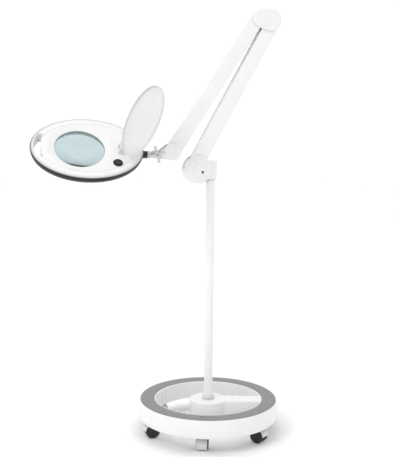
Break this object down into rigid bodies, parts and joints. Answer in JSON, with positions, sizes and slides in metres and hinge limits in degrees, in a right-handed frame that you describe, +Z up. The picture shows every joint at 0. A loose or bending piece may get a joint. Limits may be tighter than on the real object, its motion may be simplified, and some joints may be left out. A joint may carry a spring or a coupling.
{
  "type": "magnifying lamp",
  "caption": "Floor-standing magnifying lamp: castered ring base, pole, two parallel-linkage arms and an oval head with a round lens, ring light and hinged lens cover.",
  "frame": {"origin": "on the floor, at the middle of the box around the whole lamp as it stands", "axes": "+Z up along the pole; +X to the right and -Y towards a person facing the front, with the head reaching out to the left"},
  "size_m": [0.5856, 0.3956, 1.036],
  "materials": {
    "white_shell": "satin white moulding",
    "white_paint": "satin white powder coat",
    "grey_mat": "matt ribbed grey",
    "light_grey_plastic": "satin light grey",
    "dark_plastic": "satin dark grey",
    "black_plastic": "satin black",
    "wheel_tread": "matt black",
    "steel": "plain zinc",
    "cast_iron": "rough casting",
    "clear_glass": "polished clear glass",
    "diffuser": "frosted translucent ring",
    "circuit_board": "white solder resist",
    "lid_plastic": "satin pale grey"
  },
  "bodies": {
    "base": {"base_housing": "white_shell", "base_mat": "grey_mat", "base_ballast": "cast_iron", "hub_plate": "steel", "pole_bolt": "steel", "pole": "white_paint", "pole_collar": "light_grey_plastic", "pole_bush": "dark_plastic"},
    "caster_1": {"caster_1_hood": "light_grey_plastic"},
    "caster_1_left": {"caster_1_wheel_left": "wheel_tread"},
    "caster_1_right": {"caster_1_wheel_right": "wheel_tread"},
    "caster_2": {"caster_2_hood": "light_grey_plastic"},
    "caster_2_left": {"caster_2_wheel_left": "wheel_tread"},
    "caster_2_right": {"caster_2_wheel_right": "wheel_tread"},
    "caster_3": {"caster_3_hood": "light_grey_plastic"},
    "caster_3_left": {"caster_3_wheel_left": "wheel_tread"},
    "caster_3_right": {"caster_3_wheel_right": "wheel_tread"},
    "caster_4": {"caster_4_hood": "light_grey_plastic"},
    "caster_4_left": {"caster_4_wheel_left": "wheel_tread"},
    "caster_4_right": {"caster_4_wheel_right": "wheel_tread"},
    "caster_5": {"caster_5_hood": "light_grey_plastic"},
    "caster_5_left": {"caster_5_wheel_left": "wheel_tread"},
    "caster_5_right": {"caster_5_wheel_right": "wheel_tread"},
    "caster_6": {"caster_6_hood": "light_grey_plastic"},
    "caster_6_left": {"caster_6_wheel_left": "wheel_tread"},
    "caster_6_right": {"caster_6_wheel_right": "wheel_tread"},
    "arm_bracket": {"swivel_bracket": "white_paint", "shoulder_cover_front": "white_shell", "shoulder_cover_back": "white_shell", "shoulder_bolt": "steel", "power_inlet": "black_plastic"},
    "lower_arm": {"lower_arm_channel": "white_paint", "lower_arm_spring": "steel"},
    "lower_link": {"lower_arm_link": "dark_plastic"},
    "elbow": {"elbow_block": "white_paint", "elbow_cover_front": "white_shell", "elbow_cover_back": "white_shell", "elbow_lower_bolt": "steel", "elbow_upper_bolt": "steel"},
    "upper_arm": {"upper_arm_channel": "white_paint", "upper_arm_spring": "steel"},
    "upper_link": {"upper_arm_link": "dark_plastic"},
    "arm_tip": {"tip_fork": "light_grey_plastic", "tip_cover_front": "white_shell", "tip_cover_back": "white_shell", "tip_bolt": "steel", "clamp_bolt": "steel"},
    "clamp_knob": {"clamp_knob": "light_grey_plastic"},
    "neck": {"neck": "light_grey_plastic"},
    "head": {"head_top_shell": "white_shell", "head_bottom_shell": "white_shell", "lens": "clear_glass", "lens_ring": "black_plastic", "led_board": "circuit_board", "led_diffuser": "diffuser", "switch_bezel": "black_plastic", "neck_collar": "black_plastic"},
    "switch": {"power_switch": "black_plastic"},
    "lens_lid": {"lens_cover": "lid_plastic", "lid_hinge_pin": "steel"}
  },
  "joints": [
    {"name": "caster_1_swivel", "type": "hinge", "parent": "base", "child": "caster_1", "pos_m": [0.10512, -0.12165, 0.037], "axis": [0, 0, 1], "continuous": true},
    {"name": "caster_1_left_roll", "type": "hinge", "parent": "caster_1", "child": "caster_1_left", "pos_m": [0.10565, -0.11568, 0.016], "axis": [0.9962, -0.0872, 0], "continuous": true},
    {"name": "caster_1_right_roll", "type": "hinge", "parent": "caster_1", "child": "caster_1_right", "pos_m": [0.10565, -0.11568, 0.016], "axis": [0.9962, -0.0872, 0], "continuous": true},
    {"name": "caster_2_swivel", "type": "hinge", "parent": "base", "child": "caster_2", "pos_m": [0.23654, -0.06038, 0.037], "axis": [0, 0, 1], "continuous": true},
    {"name": "caster_2_left_roll", "type": "hinge", "parent": "caster_2", "child": "caster_2_left", "pos_m": [0.24145, -0.06382, 0.016], "axis": [-0.5736, -0.8192, 0], "continuous": true},
    {"name": "caster_2_right_roll", "type": "hinge", "parent": "caster_2", "child": "caster_2_right", "pos_m": [0.24145, -0.06382, 0.016], "axis": [-0.5736, -0.8192, 0], "continuous": true},
    {"name": "caster_3_swivel", "type": "hinge", "parent": "base", "child": "caster_3", "pos_m": [0.24918, 0.08407, 0.037], "axis": [0, 0, 1], "continuous": true},
    {"name": "caster_3_left_roll", "type": "hinge", "parent": "caster_3", "child": "caster_3_left", "pos_m": [0.25217, 0.08927, 0.016], "axis": [0.866, -0.5, 0], "continuous": true},
    {"name": "caster_3_right_roll", "type": "hinge", "parent": "caster_3", "child": "caster_3_right", "pos_m": [0.25217, 0.08927, 0.016], "axis": [0.866, -0.5, 0], "continuous": true},
    {"name": "caster_4_swivel", "type": "hinge", "parent": "base", "child": "caster_4", "pos_m": [0.1304, 0.16724, 0.037], "axis": [0, 0, 1], "continuous": true},
    {"name": "caster_4_left_roll", "type": "hinge", "parent": "caster_4", "child": "caster_4_left", "pos_m": [0.1274, 0.17244, 0.016], "axis": [0.866, 0.5, 0], "continuous": true},
    {"name": "caster_4_right_roll", "type": "hinge", "parent": "caster_4", "child": "caster_4_right", "pos_m": [0.1274, 0.17244, 0.016], "axis": [0.866, 0.5, 0], "continuous": true},
    {"name": "caster_5_swivel", "type": "hinge", "parent": "base", "child": "caster_5", "pos_m": [-0.00102, 0.10596, 0.037], "axis": [0, 0, 1], "continuous": true},
    {"name": "caster_5_left_roll", "type": "hinge", "parent": "caster_5", "child": "caster_5_left", "pos_m": [-0.00693, 0.107, 0.016], "axis": [0.1736, 0.9848, 0], "continuous": true},
    {"name": "caster_5_right_roll", "type": "hinge", "parent": "caster_5", "child": "caster_5_right", "pos_m": [-0.00693, 0.107, 0.016], "axis": [0.1736, 0.9848, 0], "continuous": true},
    {"name": "caster_6_swivel", "type": "hinge", "parent": "base", "child": "caster_6", "pos_m": [-0.01366, -0.03849, 0.037], "axis": [0, 0, 1], "continuous": true},
    {"name": "caster_6_left_roll", "type": "hinge", "parent": "caster_6", "child": "caster_6_left", "pos_m": [-0.01929, -0.04054, 0.016], "axis": [-0.342, 0.9397, 0], "continuous": true},
    {"name": "caster_6_right_roll", "type": "hinge", "parent": "caster_6", "child": "caster_6_right", "pos_m": [-0.01929, -0.04054, 0.016], "axis": [-0.342, 0.9397, 0], "continuous": true},
    {"name": "pole_swivel", "type": "hinge", "parent": "base", "child": "arm_bracket", "pos_m": [0.11776, 0.02279, 0.626], "axis": [0, 0, 1], "range_deg": [-180, 180]},
    {"name": "lower_arm_pitch", "type": "hinge", "parent": "arm_bracket", "child": "lower_arm", "pos_m": [0.08142, 0.01168, 0.6533], "axis": [0.2924, -0.9563, 0], "range_deg": [-1, 60]},
    {"name": "lower_link_follow", "type": "hinge", "parent": "arm_bracket", "child": "lower_link", "pos_m": [0.06803, 0.00759, 0.65306], "axis": [0.2924, -0.9563, 0], "range_deg": [-1, 60]},
    {"name": "elbow_level", "type": "hinge", "parent": "lower_arm", "child": "elbow", "pos_m": [0.26687, 0.06838, 1.00315], "axis": [0.2924, -0.9563, 0], "range_deg": [-60, 1]},
    {"name": "upper_arm_pitch", "type": "hinge", "parent": "elbow", "child": "upper_arm", "pos_m": [0.22208, 0.05469, 1.01899], "axis": [0.2924, -0.9563, 0], "range_deg": [-60, 2]},
    {"name": "upper_link_follow", "type": "hinge", "parent": "elbow", "child": "upper_link", "pos_m": [0.22753, 0.05635, 1.0062], "axis": [0.2924, -0.9563, 0], "range_deg": [-60, 2]},
    {"name": "tip_level", "type": "hinge", "parent": "upper_arm", "child": "arm_tip", "pos_m": [0.02156, -0.00662, 0.6961], "axis": [0.2924, -0.9563, 0], "range_deg": [-2, 60]},
    {"name": "clamp_knob_turn", "type": "hinge", "parent": "arm_tip", "child": "clamp_knob", "pos_m": [-0.00932, -0.03697, 0.6863], "axis": [0.2924, -0.9563, 0], "range_deg": [-180, 180]},
    {"name": "head_tilt", "type": "hinge", "parent": "arm_tip", "child": "neck", "pos_m": [-0.01517, -0.01785, 0.6863], "axis": [0.2924, -0.9563, 0], "range_deg": [-35, 45]},
    {"name": "head_roll", "type": "hinge", "parent": "neck", "child": "head", "pos_m": [-0.01517, -0.01785, 0.6853], "axis": [-0.9563, -0.2924, 0.007], "range_deg": [-80, 80]},
    {"name": "switch_rock", "type": "hinge", "parent": "head", "child": "switch", "pos_m": [-0.09354, -0.09612, 0.66808], "axis": [0.2057, -0.6893, -0.6946], "range_deg": [0, 20]},
    {"name": "lid_hinge", "type": "hinge", "parent": "head", "child": "lens_lid", "pos_m": [-0.08808, -0.07245, 0.70375], "axis": [0.1046, -0.7161, -0.6901], "range_deg": [-2, 115.5]}
  ],
  "couplings": [
    {"joint": "lower_link_follow", "follows": "lower_arm_pitch", "ratio": 1},
    {"joint": "elbow_level", "follows": "lower_arm_pitch", "ratio": -1},
    {"joint": "upper_link_follow", "follows": "upper_arm_pitch", "ratio": 1},
    {"joint": "tip_level", "follows": "upper_arm_pitch", "ratio": -1}
  ]
}
